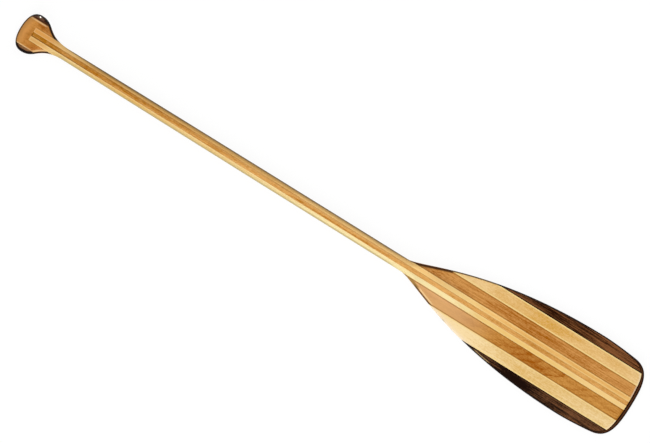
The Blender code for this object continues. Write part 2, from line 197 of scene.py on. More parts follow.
OUTLINE = plan_outline()
SPINE_PROFILE = face_profile([
    (0.0, GRIP_END_THICKNESS, FACE_FULLNESS),
    (GRIP_WIDEST_AT, SHAFT_DEPTH, FACE_FULLNESS),
    (GRIP_WAIST_AT, GRIP_WAIST_THICKNESS, SHAFT_FULLNESS),
    (THROAT_AT, SHAFT_DEPTH, FACE_FULLNESS),
    (SPINE_END, BLADE_THICKNESS, FACE_FULLNESS),
    (LENGTH, BLADE_THICKNESS, FACE_FULLNESS),
])
FLAT_PROFILE = face_profile([
    (THROAT_AT, SHAFT_DEPTH, FACE_FULLNESS),
    (THINNED_AT, BLADE_THICKNESS, FACE_FULLNESS),
    (LENGTH, BLADE_THICKNESS, FACE_FULLNESS),
])
EDGE_PROFILE = face_profile([
    (THROAT_AT, SHAFT_DEPTH, FACE_FULLNESS),
    (THINNED_AT, BLADE_EDGE_THICKNESS, FACE_FULLNESS),
    (LENGTH, BLADE_EDGE_THICKNESS, FACE_FULLNESS),
])


def read(profile, u):
    """The profile's value at each place u along the paddle."""
    return np.interp(u, profile[:, 0], profile[:, 1])


def ease(u, start, end):
    """Rises smoothly from 0 at the start to 1 at the end, as 3 t squared less 2 t cubed."""
    t = np.clip((u - start) / (end - start), 0.0, 1.0)
    return t * t * (3.0 - 2.0 * t)


def edge_distance(u, y):
    """Shortest distance from each plan point to the outline's straight pieces."""
    points = np.stack([u, np.abs(y)], axis=-1).reshape(-1, 2)
    starts, steps = OUTLINE[:-1], np.diff(OUTLINE, axis=0)
    found = np.empty(len(points))
    for block in np.array_split(np.arange(len(points)), 1 + len(points) // POINTS_AT_ONCE):
        away = points[block, None] - starts
        along = np.clip((away * steps).sum(-1) / (steps**2).sum(-1), 0.0, 1.0)
        found[block] = np.linalg.norm(away - along[..., None] * steps, axis=-1).min(-1)
    return found.reshape(np.shape(u))


def edge_radius(u):
    """How far in from the outline the faces round over: the whole half width along the shaft."""
    width = read(OUTLINE, u)
    grip = GRIP_EDGE_RADIUS + (width - GRIP_EDGE_RADIUS) * ease(u, GRIP_WIDEST_AT, NECK_AT)
    blade = ease(u, THROAT_AT, ROUNDED_AT)
    blade = SHAFT_WIDTH / 2 + (BLADE_EDGE_THICKNESS / 2 - SHAFT_WIDTH / 2) * blade
    return np.where(u < NECK_AT, grip, np.where(u < THROAT_AT, width, blade))


def half_thickness(u, y, inset):
    """Height of the carved face over the middle plane.

    The blade is flat and thins by a parabola towards its edge, the spine is a cosine hump that
    runs out along the middle, and the edge rounds over as a quarter of an ellipse.
    """
    spine = read(SPINE_PROFILE, u)
    flat = np.where(u < THROAT_AT, spine, read(FLAT_PROFILE, u))
    edge = np.where(u < THROAT_AT, spine, read(EDGE_PROFILE, u))
    thinning_width = np.minimum(EDGE_THINNING_WIDTH, read(OUTLINE, u) + MERGE_DISTANCE)
    thinning = np.clip(inset / thinning_width, 0.0, 1.0)
    blade = edge + (flat - edge) * thinning * (2.0 - thinning)
    hump = 0.5 + 0.5 * np.cos(np.pi * np.clip(2.0 * np.abs(y) / SPINE_WIDTH, 0.0, 1.0))
    body = blade + np.maximum(spine - flat, 0.0) * hump
    rounding = np.clip(inset / edge_radius(u), 0.0, 1.0)
    return body * np.sqrt(rounding * (2.0 - rounding))


def crossing(plane, before, after):
    """Where the outline passes a glue plane, between two places along the paddle."""
    u = np.linspace(before, after, CROSSING_POINTS)
    width = read(OUTLINE, u)
    if width[-1] < width[0]:
        u, width = u[::-1], width[::-1]
    return float(np.interp(plane, width, u))


def guard_line():
    """Points on the outline from the tip to the guard's tail, their inward normals and widths."""
    line = OUTLINE[::-1]
    run = np.concatenate([[0.0], np.cumsum(np.linalg.norm(np.diff(line, axis=0), axis=1))])
    steps = np.linspace(0.0, GUARD_HALF_RUN, GUARD_ROWS)
    places = np.stack([np.interp(steps, run, line[:, 0]),
                       np.interp(steps, run, line[:, 1])], axis=1)
    tangents = np.gradient(line, run, axis=0)
    tangents[0] = (0.0, 1.0)
    normals = np.stack([-np.interp(steps, run, tangents[:, 1]),
                        np.interp(steps, run, tangents[:, 0])], axis=1)
    normals /= np.linalg.norm(normals, axis=1)[:, None]
    taper = ease(steps, GUARD_HALF_RUN - GUARD_TAPER_LENGTH, GUARD_HALF_RUN)
    return places, normals, GUARD_WIDTH + (GUARD_TAIL_WIDTH - GUARD_WIDTH) * taper


GUARD_PLACES, GUARD_NORMALS, GUARD_WIDTHS = guard_line()
SEAT_LINE = GUARD_PLACES + GUARD_NORMALS * (GUARD_WIDTHS + 2 * HAIR)[:, None]


def rows_between(start, end, kinks=()):
    """Rows for a stretch: its ends and kinks, and the shared steps that clear them."""
    fixed = np.array([start, *kinks, end])
    shared = np.concatenate([np.arange(low, high, step) for low, high, step in ROW_STEPS])
    clear = np.abs(shared[:, None] - fixed).min(axis=1) > ROW_CLEARANCE
    inside = (shared > start) & (shared < end)
    return np.sort(np.concatenate([fixed, shared[clear & inside]]))


def even_columns(inner, outer, count):
    """Places across a piece in each row, evenly apart."""
    return inner[:, None] + (outer - inner)[:, None] * np.linspace(0.0, 1.0, count + 1)


def edge_columns(rows, inner, outer):
    """Places across a piece in each row, closer together where its outer side rounds over."""
    radius = edge_radius(rows)
    rounded = np.minimum(radius, ROUND_SHARE * (outer - inner))
    turns = np.arccos(1.0 - rounded / radius)[:, None] * np.linspace(1.0, 0.0, ROUND_COLUMNS + 1)
    round_part = outer[:, None] - radius[:, None] * (1.0 - np.cos(turns))
    count = 1 + int((outer - rounded - inner).max() / COLUMN_STEP)
    return np.concatenate([even_columns(inner, outer - rounded, count)[:, :-1], round_part], axis=1)


def level_rows(rows, across):
    """Each row's place, repeated for all its columns."""
    return np.repeat(rows[:, None], across.shape[1], axis=1)


def run_to_guard(rows, across):
    """Plan of a batten, with its last rows drawn out to its seat in the guard."""
    last = across[-1]
    seat = np.interp(np.abs(last), SEAT_LINE[:, 1], SEAT_LINE[:, 0])
    share = np.linspace(0.0, 1.0, SEAT_ROWS + 1)[1:, None]
    along = np.concatenate([level_rows(rows, across), TIP_ROWS_AT + share * (seat - TIP_ROWS_AT)])
    return along, np.concatenate([across, np.repeat(last[None], len(share), axis=0)])


def core_plan():
    """The middle batten, from its socket in the grip to the guard."""
    rows = rows_between(SOCKET_AT + HAIR, TIP_ROWS_AT)
    half = np.full(len(rows), CORE_PLANE - HAIR)
    return run_to_guard(rows, even_columns(-half, half, CORE_COLUMNS))


def strip_plan(start, inner_plane, outer_plane, kinks):
    """A batten between two glue planes, cut by the outline where that is the narrower."""
    rows = rows_between(start, TIP_ROWS_AT, kinks)
    inner = np.full(len(rows), inner_plane + HAIR)
    outer = np.minimum(read(OUTLINE, rows), outer_plane - HAIR)
    return run_to_guard(rows, edge_columns(rows, inner, outer))


def shaft_strip_plan():
    """A batten beside the core. The outline cuts it along the shaft, between grip and blade."""
    kinks = (crossing(STICK_PLANE - HAIR, GRIP_WIDEST_AT, NECK_AT),
             crossing(STICK_PLANE - HAIR, THROAT_AT, WIDEST_AT))
    return strip_plan(SOCKET_AT + HAIR, CORE_PLANE, STICK_PLANE, kinks)


def blade_strip_plan(inner_plane, outer_plane):
    """A batten of the blade, from its feathered start on the shoulder to the guard."""
    start = crossing(inner_plane + HAIR + FEATHER, THROAT_AT, WIDEST_AT)
    kink = crossing(outer_plane - HAIR, THROAT_AT, WIDEST_AT)
    return strip_plan(start, inner_plane, outer_plane, (kink,))


def outer_strip_plan():
    """The batten at the blade's edge, whose front is hollowed to seat in the guard's tail."""
    inner = MIDDLE_PLANE + HAIR
    front = inner + FEATHER
    start = crossing(front, THROAT_AT, WIDEST_AT)
    edge_rows = rows_between(start, SEAT_LINE[-1, 0] - GUARD_TAIL_WIDTH)
    seated = SEAT_LINE[SEAT_LINE[:, 1] > front + FEATHER][::-1]
    front_row = (np.interp(front, SEAT_LINE[:, 1], SEAT_LINE[:, 0]), front)
    seated = np.concatenate([seated, [front_row]])
    rows = np.concatenate([edge_rows, seated[:, 0]])
    outer = np.concatenate([read(OUTLINE, edge_rows), seated[:, 1]])
    across = edge_columns(rows, np.full(len(rows), inner), outer)
    return level_rows(rows, across), across


def guard_plan():
    """The guard: its section swept along the outline, round both corners, from tail to tail."""
    width = GUARD_WIDTHS
    across_band = edge_columns(GUARD_PLACES[:, 0], np.zeros(len(width)), width)
    inset = width[:, None] - across_band
    along = GUARD_PLACES[:, :1] + GUARD_NORMALS[:, :1] * inset
    across = GUARD_PLACES[:, 1:] + GUARD_NORMALS[:, 1:] * inset
    return np.concatenate([along[:0:-1], along]), np.concatenate([across[:0:-1], -across])


def grip_block_plan():
    """The block of the palm grip, with its open socket: the plan, and which cells are cut out."""
    socket, side, floor = STICK_PLANE + HAIR, GRIP_PLANE - HAIR, SOCKET_AT - HAIR
    cheek_end = crossing(socket + FEATHER, GRIP_WIDEST_AT, NECK_AT)
    crown_turns = np.linspace(0.0, np.pi / 2, CROWN_ROWS, endpoint=False)
    rows = np.concatenate([
        GRIP_EDGE_RADIUS * (1.0 - np.cos(crown_turns)),
        np.linspace(GRIP_EDGE_RADIUS, floor, FLOOR_ROWS, endpoint=False),
        rows_between(floor, cheek_end, (crossing(side, GRIP_WIDEST_AT, NECK_AT),)),
    ])
    width = read(OUTLINE, rows)
    inner = np.where(rows < floor, socket * np.minimum(1.0, width / side), socket)
    outside = edge_columns(rows, inner, np.minimum(width, side))
    inside = even_columns(np.zeros(len(rows)), inner, SOCKET_COLUMNS)
    half = np.concatenate([inside[:, :-1], outside], axis=1)
    across = np.concatenate([-half[:, :0:-1], half], axis=1)
    centres = (across[:-1, :-1] + across[1:, 1:]) / 2
    kept = (np.abs(centres) > socket) | (rows[:-1, None] < floor)
    return level_rows(rows, across), across, kept


def grip_corner_plan():
    """The dark corner piece at the side of the palm grip."""
    inner = GRIP_PLANE + HAIR
    start = crossing(inner + FEATHER, 0.0, GRIP_WIDEST_AT)
    end = crossing(inner + FEATHER, GRIP_WIDEST_AT, NECK_AT)
    turns = np.linspace(0.0, np.pi, CORNER_ROWS)
    rows = start + (end - start) * (0.5 - 0.5 * np.cos(turns))
    across = edge_columns(rows, np.full(len(rows), inner), read(OUTLINE, rows))
    return level_rows(rows, across), across


def seam_distance(u, y):
    """Distance from each plan point to the nearest glue line, whichever piece it lies on."""
    side = np.abs(y)
    in_grip, in_blade = u < NECK_AT, u > THROAT_AT
    beside_blade = np.minimum(np.abs(side - INNER_PLANE), np.abs(side - MIDDLE_PLANE))
    to_seat = np.stack([u, side], axis=-1)[..., None, :] - SEAT_LINE
    return np.minimum.reduce([
        np.where(u > SOCKET_AT, np.abs(side - CORE_PLANE), np.inf),
        np.where((u > SOCKET_AT) & (in_grip | in_blade), np.abs(side - STICK_PLANE), np.inf),
        np.where(in_blade, beside_blade, np.inf),
        np.where(in_grip, np.abs(side - GRIP_PLANE), np.inf),
        np.hypot(u - SOCKET_AT, np.maximum(side - STICK_PLANE, 0.0)),
        np.linalg.norm(to_seat, axis=-1).min(-1),
    ])


def board_faces(rows, columns, kept):
    """The faces of a board: kept cells on both faces, and walls where a cell has no neighbour."""
    index = np.arange(rows * columns).reshape(rows, columns)
    corners = [index[:-1, :-1], index[1:, :-1], index[1:, 1:], index[:-1, 1:]]
    under = rows * columns
    top = np.stack([corner[kept] for corner in corners], axis=1)
    faces = [top, top[:, ::-1] + under]
    ring = np.pad(kept, 1)
    beside = [ring[1:-1, :-2], ring[2:, 1:-1], ring[1:-1, 2:], ring[:-2, 1:-1]]
    for side, neighbour in enumerate(beside):
        open_side = kept & ~neighbour
        first, second = corners[side][open_side], corners[(side + 1) % 4][open_side]
        faces.append(np.stack([second, first, first + under, second + under], axis=1))
    return np.concatenate(faces)


def board(name, finish, along, across, kept=None):
    """One piece: the plan (along, across) raised and lowered by the half thickness, walls between.

    Each vertex also keeps its distance to the outline (rim), to the nearest glue line (seam) and to
    the planes at the sides of the grip's block (cheek).
    """
    rows, columns = along.shape
    if kept is None:
        kept = np.ones((rows - 1, columns - 1), bool)
    inset = edge_distance(along, across)
    height = half_thickness(along, across, inset)
    plan = [along.ravel() + START, across.ravel()]
    upper = np.stack(plan + [CENTRE_HEIGHT + height.ravel()], axis=1)
    lower = np.stack(plan + [CENTRE_HEIGHT - height.ravel()], axis=1)
    mesh = bpy.data.meshes.new(name)
    mesh.from_pydata(np.concatenate([upper, lower]), [], board_faces(rows, columns, kept).tolist())
    marks = {"rim": inset, "seam": seam_distance(along, across),
             "cheek": np.abs(np.abs(across) - GRIP_PLANE)}
    for label, values in marks.items():
        attribute = mesh.attributes.new(label, "FLOAT", "POINT")
        attribute.data.foreach_set("value", np.tile(values.ravel(), 2).astype(np.float32))
    close_mesh(mesh)
    mesh.materials.append(finish)
    piece = bpy.data.objects.new(name, mesh)
    bpy.context.scene.collection.objects.link(piece)
    return piece


def close_mesh(mesh):
    """Merges the points of rims and poles, turns all faces outwards and shades the faces smooth."""
    bm = bmesh.new()
    bm.from_mesh(mesh)
    bmesh.ops.remove_doubles(bm, verts=bm.verts, dist=MERGE_DISTANCE)
    bmesh.ops.delete(bm, geom=[v for v in bm.verts if not v.link_faces], context="VERTS")
    bmesh.ops.recalc_face_normals(bm, faces=bm.faces)
    bm.to_mesh(mesh)
    bm.free()
    mesh.shade_smooth()
    mesh.set_sharp_from_angle(angle=SHARP_ANGLE)


class Graph:
    """A node tree written as formulas. An input takes a number, a tuple or a node's socket."""

    def __init__(self, tree):
        self.tree = tree

    def node(self, kind, inputs=None, **settings):
        made = self.tree.nodes.new(kind)
        for name, value in settings.items():
            setattr(made, name, value)
        for key, value in (inputs or {}).items():
            if isinstance(value, bpy.types.NodeSocket):
                self.tree.links.new(value, made.inputs[key])
            else:
                made.inputs[key].default_value = value
        return made

    def math(self, operation, *values, clamp=False):
        made = self.node("ShaderNodeMath", dict(enumerate(values)), operation=operation,
                         use_clamp=clamp)
        return made.outputs[0]

    def vector(self, operation, *values):
        made = self.node("ShaderNodeVectorMath", dict(enumerate(values)), operation=operation)
        return made.outputs["Value" if operation == "LENGTH" else "Vector"]

    def parts(self, place):
        return self.node("ShaderNodeSeparateXYZ", {0: place}).outputs

    def mix(self, share, first, second):
        made = self.node("ShaderNodeMix", {0: share, 6: first, 7: second}, data_type="RGBA")
        return made.outputs[2]

    def fade(self, value, low, high):
        """0 at low, 1 at high and smooth between. High may be the smaller."""
        made = self.node("ShaderNodeMapRange", {"Value": value, "From Min": low, "From Max": high},
                         interpolation_type="SMOOTHSTEP")
        return made.outputs["Result"]

    def noise(self, place, detail=2.0, roughness=0.5):
        made = self.node("ShaderNodeTexNoise", {"Vector": place, "Scale": 1.0, "Detail": detail,
                                                "Roughness": roughness})
        return made.outputs["Fac"]

    def contrast(self, noise):
        """Noise drawn out to the whole range from 0 to 1."""
        return self.fade(noise, 0.3, 0.7)

    def shifted(self, place, seed):
        """The place moved by the seed, so that boards of one kind differ."""
        across, up = (self.math("MULTIPLY", seed, share) for share in SEED_SHIFT)
        shift = self.node("ShaderNodeCombineXYZ", {0: seed, 1: across, 2: up})
        return self.vector("ADD", place, shift.outputs[0])


def node_group(name, inputs, outputs):
    """An empty shader group with the named inputs and outputs: its tree, graph and two ends."""
    tree = bpy.data.node_groups.new(name, "ShaderNodeTree")
    for label, kind in inputs:
        tree.interface.new_socket(label, in_out="INPUT", socket_type=kind)
    for label, kind in outputs:
        tree.interface.new_socket(label, in_out="OUTPUT", socket_type=kind)
    graph = Graph(tree)
    return tree, graph, graph.node("NodeGroupInput").outputs, graph.node("NodeGroupOutput").inputs


NUMBER, PLACE = "NodeSocketFloat", "NodeSocketVector"
SEED_SHIFT = (1.7, 2.3)
FLECK_SIZE = (0.0050, 0.0019, 0.0019)
LATE_WOOD_END = 0.93
FAINTEST_RING = 0.2
PATCH_EDGE_SCALE = (30.0, 120.0, 120.0)
SIDE_SLOPE = 400.0


def wood_figure_group():
    """The figure of one board, cut from a log whose pith runs beside it.

    Growth rings are shells round the pith: distance from it, plus a slant along the board, wavered
    by noise, over the ring width. In each, the late wood starts at that share and ends sharply.
    Fibres are noise drawn out along the board, mottle is the same at the size of a thumb, and
    flecks are short pores.
    """
    tree, g, given, out = node_group("wood figure", [
        ("Position", PLACE), ("Seed", NUMBER), ("Pith", PLACE), ("Slant", NUMBER),
        ("Ring Width", NUMBER), ("Late", NUMBER), ("Waver", NUMBER), ("Waver Size", PLACE),
        ("Fibre Size", PLACE), ("Mottle Size", PLACE),
    ], [("Rings", NUMBER), ("Fibres", NUMBER), ("Mottle", NUMBER), ("Flecks", NUMBER)])
    place = g.shifted(given["Position"], given["Seed"])
    away = g.vector("SUBTRACT", given["Position"], given["Pith"])
    away = g.vector("MULTIPLY", away, (0.0, 1.0, 1.0))
    wobble = g.math("SUBTRACT", g.noise(g.vector("DIVIDE", place, given["Waver Size"])), 0.5)
    radius = g.math("MULTIPLY_ADD", wobble, given["Waver"], g.vector("LENGTH", away))
    radius = g.math("MULTIPLY_ADD", g.parts(given["Position"])[0], given["Slant"], radius)
    turns = g.math("DIVIDE", radius, given["Ring Width"])
    share = g.math("FRACT", turns)
    number = g.math("ADD", g.math("FLOOR", turns), given["Seed"])
    tone = g.node("ShaderNodeTexWhiteNoise", {"W": number}, noise_dimensions="1D").outputs["Value"]
    late = g.math("MULTIPLY", g.fade(share, given["Late"], LATE_WOOD_END),
                  g.fade(share, 1.0, LATE_WOOD_END))
    strength = g.math("MULTIPLY_ADD", tone, 1.0 - FAINTEST_RING, FAINTEST_RING)
    fibres = g.noise(g.vector("DIVIDE", place, given["Fibre Size"]), 3.0, 0.6)
    mottle = g.noise(g.vector("DIVIDE", place, given["Mottle Size"]), 2.0, 0.45)
    flecks = g.noise(g.vector("DIVIDE", place, FLECK_SIZE), 2.0, 0.6)
    g.tree.links.new(g.math("MULTIPLY", late, strength), out["Rings"])
    g.tree.links.new(g.contrast(fibres), out["Fibres"])
    g.tree.links.new(g.contrast(mottle), out["Mottle"])
    g.tree.links.new(g.contrast(flecks), out["Flecks"])
    return tree


def patch_group():
    """A soft patch on a board: 1 at its centre, fading out to a ragged ellipse."""
    tree, g, given, out = node_group("soft patch", [
        ("Position", PLACE), ("Centre", PLACE), ("Size", PLACE), ("Seed", NUMBER),
    ], [("Mask", NUMBER)])
    away = g.vector("SUBTRACT", given["Position"], given["Centre"])
    away = g.vector("DIVIDE", away, given["Size"])
    flat = g.vector("LENGTH", g.vector("MULTIPLY", away, (1.0, 1.0, 0.0)))
    place = g.shifted(given["Position"], given["Seed"])
    ragged = g.noise(g.vector("MULTIPLY", place, PATCH_EDGE_SCALE), 3.0, 0.6)
    reach = g.math("ADD", flat, g.math("SUBTRACT", ragged, 0.5))
    g.tree.links.new(g.fade(reach, 1.0, 0.0), out["Mask"])
    return tree


def band_group():
    """A band that follows an edge: 1 where the mark is within Solid of Centre, then fading out.

    It ends softly at two places along the paddle, and Side 1 or -1 keeps it to one side of Y.
    """
    tree, g, given, out = node_group("soft band", [
        ("Position", PLACE), ("Mark", NUMBER), ("Centre", NUMBER), ("Solid", NUMBER),
        ("Fade", NUMBER), ("From", NUMBER), ("To", NUMBER), ("Blend", NUMBER), ("Side", NUMBER),
    ], [("Mask", NUMBER)])
    x, y, _ = g.parts(given["Position"])
    off = g.math("ABSOLUTE", g.math("SUBTRACT", given["Mark"], given["Centre"]))
    mask = g.fade(off, g.math("ADD", given["Solid"], given["Fade"]), given["Solid"])
    before = g.math("SUBTRACT", x, given["From"])
    after = g.math("SUBTRACT", given["To"], x)
    entering, leaving = (g.fade(far, 0.0, given["Blend"]) for far in (before, after))
    towards = g.math("MULTIPLY", y, given["Side"])
    sided = g.math("MULTIPLY_ADD", towards, SIDE_SLOPE, 1.0, clamp=True)
    within = g.math("MULTIPLY", entering, leaving)
    mask = g.math("MULTIPLY", g.math("MULTIPLY", mask, sided), within)
    g.tree.links.new(mask, out["Mask"])
    return tree


FIGURE = wood_figure_group()
PATCH = patch_group()
BAND = band_group()


def figure(seed, pith, ring_width=0.0021, waver=0.0015, waver_size=(0.09, 0.018, 0.018),
           slant=0.006, late=0.25, fibre_size=(0.040, 0.0014, 0.0014),
           mottle_size=(0.060, 0.010, 0.010)):
    """The inputs of one board's figure. Its pith is a place in Y and Z."""
    return {"Seed": seed, "Pith": (0.0, *pith), "Slant": slant, "Ring Width": ring_width,
            "Late": late, "Waver": waver, "Waver Size": waver_size, "Fibre Size": fibre_size,
            "Mottle Size": mottle_size}


def patch(centre, size, strength, seed):
    """A darker patch, or a paler one where the strength is negative."""
    return strength, {"Centre": (*centre, 0.0), "Size": (*size, 1.0), "Seed": seed}


# Ends for a band that has none: places beyond the grip and beyond the tip

GRIP_SIDE, TIP_SIDE = -1.0, 1.0


def band(mark, solid, fade, share, tint, centre=0.0, span=(GRIP_SIDE, TIP_SIDE), blend=0.010,
         side=0.0):
    """A band of the tint along an edge, covering the share of the wood's own colour.

    The mark "edge" is the rim's, but only on the two faces: the upright sides keep their wood.
    """
    values = {"Centre": centre, "Solid": solid, "Fade": fade, "From": span[0], "To": span[1],
              "Blend": blend, "Side": side}
    return mark, share, (*tint, 1.0), values


def tone(share, tint, span, blend):
    """A tint over the whole width of a board, between two places along the paddle."""
    return band("rim", 1.0, 1.0, share, tint, span=span, blend=blend)


def glued_side(share, tint, span=(GRIP_SIDE, TIP_SIDE)):
    """A narrow band on a batten, along its glue lines."""
    return band("seam", 0.0018, 0.0012, share, tint, span=span)


# The wood's surface, dull under a thin coat, and how level it is where "edge" bands begin and
# where they reach their full share

WOOD_ROUGHNESS = 0.5
COAT_IOR = 1.4
GRAIN_DEPTH = 0.00003
GRAIN_STRENGTH = 0.05
SIDE_LEVEL, FACE_LEVEL = 0.10, 0.40


def varnished(name, board_figure, pale, deep, strengths, patches=(), bands=(), ring_span=None,
              coat=0.15, coat_roughness=0.12, flecks=0.40):
    """Wood under clear varnish.

    The colour runs from pale to deep by the strengths of (bias, rings, fibres, mottle), by flecks
    and by patches. Bands lie over it. Ring span is where the rings fade in, along the paddle.
    """
    material = bpy.data.materials.new(name)
    material.use_nodes = True
    g = Graph(material.node_tree)
    shader = material.node_tree.nodes["Principled BSDF"]
    position = g.node("ShaderNodeTexCoord").outputs["Object"]
    wood = g.node("ShaderNodeGroup", {"Position": position, **board_figure}, node_tree=FIGURE)
    bias, ring_strength, fibre_strength, mottle_strength = strengths
    rings = wood.outputs["Rings"]
    if ring_span:
        rings = g.math("MULTIPLY", rings, g.fade(g.parts(position)[0], *ring_span))
    bias -= (fibre_strength + mottle_strength + flecks) / 2
    depth = g.math("MULTIPLY_ADD", rings, ring_strength, bias)
    depth = g.math("MULTIPLY_ADD", wood.outputs["Fibres"], fibre_strength, depth)
    depth = g.math("MULTIPLY_ADD", wood.outputs["Mottle"], mottle_strength, depth)
    depth = g.math("MULTIPLY_ADD", wood.outputs["Flecks"], flecks, depth)
    for strength, values in patches:
        made = g.node("ShaderNodeGroup", {"Position": position, **values}, node_tree=PATCH)
        depth = g.math("MULTIPLY_ADD", made.outputs[0], strength, depth)
    colour = g.mix(depth, (*pale, 1.0), (*deep, 1.0))
    upward = g.parts(g.node("ShaderNodeNewGeometry").outputs["Normal"])[2]
    on_face = g.fade(g.math("ABSOLUTE", upward), SIDE_LEVEL, FACE_LEVEL)
    for mark, share, tint, values in bands:
        attribute = "rim" if mark == "edge" else mark
        distance = g.node("ShaderNodeAttribute", attribute_name=attribute).outputs["Fac"]
        made = g.node("ShaderNodeGroup", {"Position": position, "Mark": distance, **values},
                      node_tree=BAND)
        cover = g.math("MULTIPLY", made.outputs[0], share)
        if mark == "edge":
            cover = g.math("MULTIPLY", cover, on_face)
        colour = g.mix(cover, colour, tint)
    bump = g.node("ShaderNodeBump", {"Strength": GRAIN_STRENGTH, "Distance": GRAIN_DEPTH,
                                     "Height": wood.outputs["Fibres"]})
    g.tree.links.new(colour, shader.inputs["Base Color"])
    g.tree.links.new(bump.outputs[0], shader.inputs["Normal"])
    shader.inputs["Roughness"].default_value = WOOD_ROUGHNESS
    shader.inputs["Specular IOR Level"].default_value = 0.0
    shader.inputs["Coat Weight"].default_value = coat
    shader.inputs["Coat Roughness"].default_value = coat_roughness
    shader.inputs["Coat IOR"].default_value = COAT_IOR
    return material


# Colours of the woods, each from its palest to its deepest

STICK_LEFT = ((0.98, 0.61, 0.225), (0.72, 0.36, 0.080))
STICK_RIGHT = ((0.865, 0.715, 0.37), (0.72, 0.41, 0.105))
LIGHT_LEFT = ((0.90, 0.62, 0.285), (0.66, 0.32, 0.030))
LIGHT_RIGHT = ((0.94, 0.72, 0.39), (0.70, 0.40, 0.080))
BROWN_LEFT = ((0.69, 0.335, 0.095), (0.36, 0.10, 0.001))
BROWN_RIGHT = ((0.66, 0.32, 0.072), (0.34, 0.085, 0.001))
GRIP_BROWN = ((0.66, 0.29, 0.065), (0.36, 0.105, 0.006))
CORE = ((0.80, 0.425, 0.130), (0.43, 0.150, 0.002))
DARK_LEFT = ((0.25, 0.093, 0.031), (0.022, 0.005, 0.001))
DARK_RIGHT = ((0.22, 0.090, 0.036), (0.013, 0.005, 0.003))
GUARD = ((0.036, 0.011, 0.005), (0.016, 0.004, 0.002))

# Colours of the lines and edges, many of them painted shade or painted highlights

NEAR_BLACK = (0.008, 0.003, 0.002)
DARK_SHADE_LINE = (0.060, 0.028, 0.009)
SHOULDER_SHADE = (0.058, 0.020, 0.005)
EDGE_SHADE = (0.090, 0.048, 0.018)
SHADE = (0.15, 0.090, 0.040)
SHAFT_SHADE = (0.19, 0.125, 0.050)
SHAFT_SOFT_SHADE = (0.39, 0.25, 0.100)
LOWER_EDGE_SHADE = (0.52, 0.40, 0.175)
CREAM = (0.925, 0.68, 0.28)
WHITENED = (0.92, 0.75, 0.54)
HIGHLIGHT_LINE = (0.90, 0.62, 0.30)
LIT_STRAW = (0.98, 0.69, 0.275)
WARM_STRAW = (0.90, 0.58, 0.186)
PALE_STRAW = (0.955, 0.64, 0.254)
PINKISH = (0.776, 0.454, 0.207)
ORANGE = (0.30, 0.115, 0.012)
OLIVE_SHADE = (0.32, 0.18, 0.038)
GRIP_TAN = (0.74, 0.33, 0.075)
CROWN_TAN = (0.80, 0.37, 0.100)
CORNER_BROWN = (0.27, 0.125, 0.045)
CORNER_HIGHLIGHT = (0.17, 0.092, 0.062)
CORNER_RED = (0.085, 0.022, 0.005)
CORE_LINE = (0.18, 0.06, 0.003)
GUARD_HIGHLIGHT = (0.13, 0.050, 0.018)

# Figures that several woods share, and a pale line beside the guard

LONG_FIBRES = dict(fibre_size=(0.060, 0.0016, 0.0016))
STREAKY = dict(ring_width=0.008, waver=0.006, slant=0.01, fibre_size=(0.07, 0.0015, 0.0015),
               mottle_size=(0.12, 0.005, 0.005))
BESIDE_GUARD = band("rim", 0.0012, 0.0010, 0.45, WHITENED, centre=0.0084, span=(0.66, TIP_SIDE))


